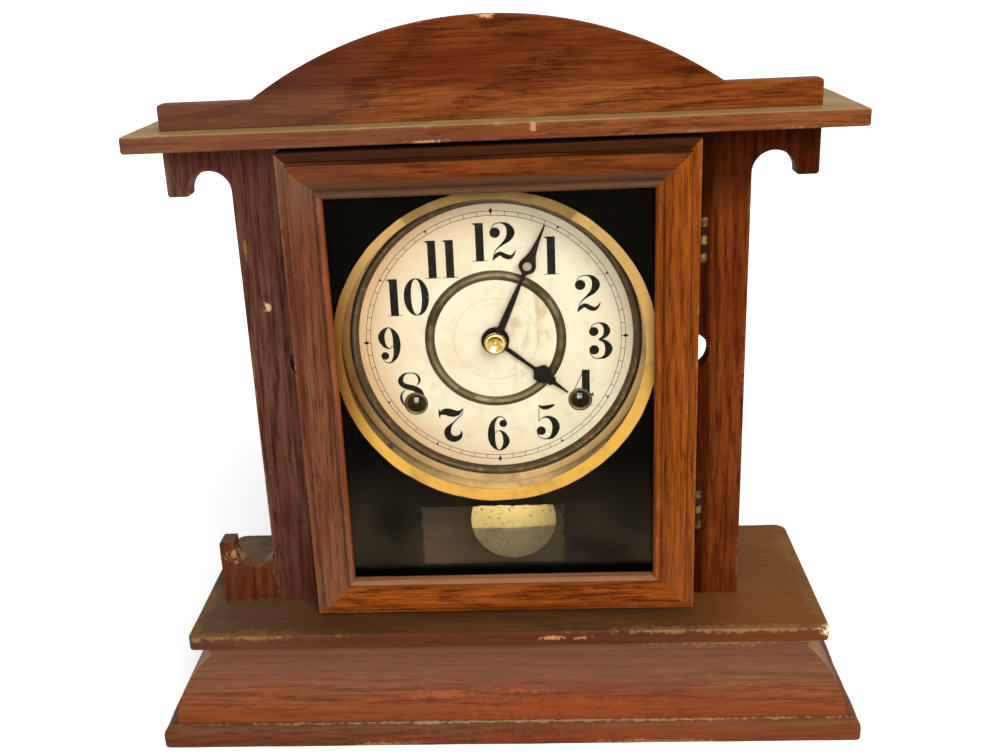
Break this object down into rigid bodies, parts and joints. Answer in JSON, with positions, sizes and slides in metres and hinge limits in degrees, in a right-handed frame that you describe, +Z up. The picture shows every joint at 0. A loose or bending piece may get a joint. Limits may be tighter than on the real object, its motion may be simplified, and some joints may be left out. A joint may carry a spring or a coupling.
{
  "type": "shelf clock",
  "caption": "Oak shelf clock with an arched crest, flat cornice, hook-cut side boards, a moulded glazed door with a painted tablet over the dial, and a moulded base.",
  "frame": {"origin": "Middle of the plinth's underside, on the surface that the clock stands on", "axes": "+X to the right seen from the front, +Y to the back, +Z up; the dial faces -Y"},
  "size_m": [0.33, 0.12, 0.3288],
  "materials": {
    "oak": "satin",
    "pine": "matte",
    "brass": "satin",
    "dark_brass": "satin",
    "steel": "satin",
    "tinplate": "matte",
    "paper": "matte",
    "blued_steel": "satin",
    "glass": "gloss",
    "black_paint": "gloss"
  },
  "bodies": {
    "case": {"plinth_board": "oak", "base_moulding_front": "oak", "base_moulding_left": "oak", "base_moulding_right": "oak", "base_back_rail": "pine", "base_top_board": "oak", "left_front_board": "oak", "left_toe_block": "oak", "right_front_board": "oak", "front_header": "oak", "front_sill": "oak", "back_board": "pine", "back_screws": "steel", "case_side_right": "oak", "case_side_left": "oak", "glue_blocks": "pine", "cornice_board": "oak", "crest_board": "oak", "hinge_case_leaves": "brass", "hinge_pins": "brass", "hinge_screws": "brass", "door_catch": "brass", "dial_board": "pine", "dial_pan": "tinplate", "dial_paper": "paper", "dial_bezel": "dark_brass", "dial_inner_ring": "dark_brass", "winding_grommets": "brass", "dial_screws": "steel", "front_plate": "brass", "back_plate": "brass", "mainsprings": "steel", "gong_coil": "steel", "gong_base": "pine"},
    "door": {"door_stile_left": "oak", "door_stile_right": "oak", "door_rail_top": "oak", "door_rail_bottom": "oak", "door_glass": "glass", "black_tablet": "black_paint", "glazing_strips": "pine", "hinge_door_leaves": "brass", "door_catch_pin": "brass"},
    "minute_hand_set": {"minute_hand": "blued_steel", "hand_nut": "brass", "cannon_pinion": "brass"},
    "hour_hand_set": {"hour_hand": "blued_steel", "hour_wheel": "brass"},
    "minute_wheel_set": {"minute_wheel": "brass"},
    "time_main_set": {"time_main_wheel": "brass"},
    "time_second_set": {"time_second_wheel": "brass"},
    "centre_set": {"centre_wheel": "brass"},
    "third_set": {"third_wheel": "brass"},
    "escape_set": {"escape_wheel": "brass"},
    "pendulum": {"pendulum_rod": "steel", "pendulum_bob": "brass"},
    "verge_set": {"verge": "steel"},
    "strike_main_set": {"strike_main_wheel": "brass"},
    "strike_second_set": {"strike_second_wheel": "brass"},
    "hammer_set": {"strike_hammer": "steel"}
  },
  "joints": [
    {"name": "door_hinge", "type": "hinge", "parent": "case", "child": "door", "pos_m": [0.093, -0.0152, 0.165], "axis": [0, 0, 1], "range_deg": [0, 100]},
    {"name": "minute_hand_turn", "type": "hinge", "parent": "case", "child": "minute_hand_set", "pos_m": [0, 0, 0.1844], "axis": [0, 1, 0], "continuous": true},
    {"name": "hour_hand_turn", "type": "hinge", "parent": "case", "child": "hour_hand_set", "pos_m": [0, 0, 0.1844], "axis": [0, 1, 0], "continuous": true},
    {"name": "minute_wheel_turn", "type": "hinge", "parent": "case", "child": "minute_wheel_set", "pos_m": [-0.014, 0, 0.1844], "axis": [0, 1, 0], "continuous": true},
    {"name": "time_main_turn", "type": "hinge", "parent": "case", "child": "time_main_set", "pos_m": [0.03875, 0, 0.1536], "axis": [0, 1, 0], "continuous": true},
    {"name": "time_second_turn", "type": "hinge", "parent": "case", "child": "time_second_set", "pos_m": [0.022, 0, 0.1726], "axis": [0, 1, 0], "continuous": true},
    {"name": "centre_turn", "type": "hinge", "parent": "case", "child": "centre_set", "pos_m": [0, 0, 0.1844], "axis": [0, 1, 0], "continuous": true},
    {"name": "third_turn", "type": "hinge", "parent": "case", "child": "third_set", "pos_m": [-0.008, 0, 0.2063], "axis": [0, 1, 0], "continuous": true},
    {"name": "escape_turn", "type": "hinge", "parent": "case", "child": "escape_set", "pos_m": [0.005, 0, 0.2135], "axis": [0, 1, 0], "continuous": true},
    {"name": "pendulum_swing", "type": "hinge", "parent": "case", "child": "pendulum", "pos_m": [0.005, 0, 0.235], "axis": [0, 1, 0], "range_deg": [-2.5, 2.5]},
    {"name": "verge_swing", "type": "hinge", "parent": "case", "child": "verge_set", "pos_m": [0.005, 0, 0.226], "axis": [0, 1, 0], "range_deg": [-3.3, 3.3]},
    {"name": "strike_main_turn", "type": "hinge", "parent": "case", "child": "strike_main_set", "pos_m": [-0.03875, 0, 0.1536], "axis": [0, 1, 0], "continuous": true},
    {"name": "strike_second_turn", "type": "hinge", "parent": "case", "child": "strike_second_set", "pos_m": [-0.03, 0, 0.1773], "axis": [0, 1, 0], "continuous": true},
    {"name": "hammer_swing", "type": "hinge", "parent": "case", "child": "hammer_set", "pos_m": [0.028, 0, 0.133], "axis": [0, 1, 0], "range_deg": [-15, 35]}
  ],
  "couplings": [
    {"joint": "hour_hand_turn", "follows": "minute_hand_turn", "ratio": 0.083333},
    {"joint": "minute_wheel_turn", "follows": "minute_hand_turn", "ratio": -0.33333},
    {"joint": "time_second_turn", "follows": "time_main_turn", "ratio": -4},
    {"joint": "centre_turn", "follows": "time_main_turn", "ratio": 12},
    {"joint": "escape_turn", "follows": "third_turn", "ratio": -13},
    {"joint": "verge_swing", "follows": "pendulum_swing", "ratio": 1.3103},
    {"joint": "strike_second_turn", "follows": "strike_main_turn", "ratio": -4}
  ]
}
